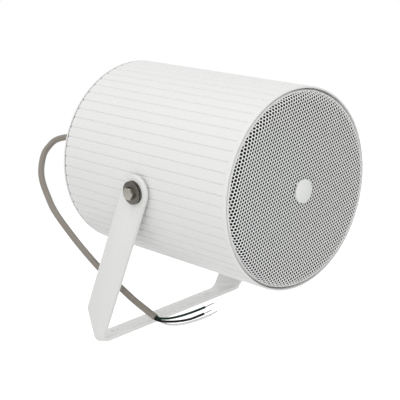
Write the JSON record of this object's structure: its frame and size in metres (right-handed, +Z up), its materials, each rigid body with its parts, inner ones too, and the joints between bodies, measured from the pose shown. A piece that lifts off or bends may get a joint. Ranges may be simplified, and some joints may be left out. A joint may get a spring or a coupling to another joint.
{
  "type": "projection speaker",
  "caption": "Drum-shaped loudspeaker with a perforated front grille, tilting on a folded U bracket with fixing holes, and a rear cable with stripped cores.",
  "frame": {"origin": "centre of the base strip's underside, at the middle fixing hole", "axes": "+X the way the grille faces, +Y along the pivot towards the side without the cable, +Z up from the base strip"},
  "size_m": [0.3405, 0.1976, 0.2442],
  "materials": {
    "drum_paint": "satin powder coat",
    "grille_paint": "satin powder coat",
    "bracket_paint": "satin powder coat",
    "badge_paint": "satin",
    "cloth": "woven",
    "stainless": "brushed",
    "washer_steel": "brushed",
    "spring_steel": "dark",
    "zinc_screw": "plated",
    "pole_steel": "plated",
    "frame_steel": "black paint",
    "paper": "pressed paper",
    "surround_rubber": "matt",
    "cap_fabric": "matt",
    "spider_fabric": "impregnated",
    "copper": "enamelled wire",
    "ferrite": "matt",
    "core_steel": "laminated",
    "terminal_plastic": "matt",
    "gasket_rubber": "matt",
    "washer_nylon": "matt",
    "gland_nylon": "matt",
    "jacket": "matt",
    "insulation_black": "gloss",
    "insulation_green": "gloss",
    "insulation_white": "gloss"
  },
  "bodies": {
    "bracket": {"bracket": "bracket_paint"},
    "head": {"housing_tube": "drum_paint", "front_bezel": "drum_paint", "bezel_screws": "zinc_screw", "grille": "grille_paint", "grille_cloth": "cloth", "grille_badge": "badge_paint", "driver_basket": "frame_steel", "driver_cone": "paper", "driver_surround": "surround_rubber", "dust_cap": "cap_fabric", "spider": "spider_fabric", "voice_coil": "copper", "top_plate": "pole_steel", "magnet_ring": "ferrite", "pole_piece": "pole_steel", "driver_screws": "zinc_screw", "rear_gasket": "gasket_rubber", "rear_cover": "drum_paint", "rear_screws": "zinc_screw", "transformer_core": "core_steel", "transformer_coil": "copper", "transformer_clips": "pole_steel", "clip_screws": "zinc_screw", "terminal_block": "terminal_plastic", "pivot_inserts": "stainless", "friction_washers": "washer_nylon", "inner_washers": "washer_steel", "spring_washers": "spring_steel", "outer_washers": "washer_steel", "pivot_bolts": "stainless", "cable_gland": "gland_nylon", "gland_nut": "gland_nylon", "cable": "jacket", "core_black": "insulation_black", "core_green": "insulation_green", "core_white": "insulation_white"}
  },
  "joints": [
    {"name": "tilt", "type": "hinge", "parent": "bracket", "child": "head", "pos_m": [0.119, 0, 0.132], "axis": [0, 1, 0], "range_deg": [-30, 60]}
  ]
}
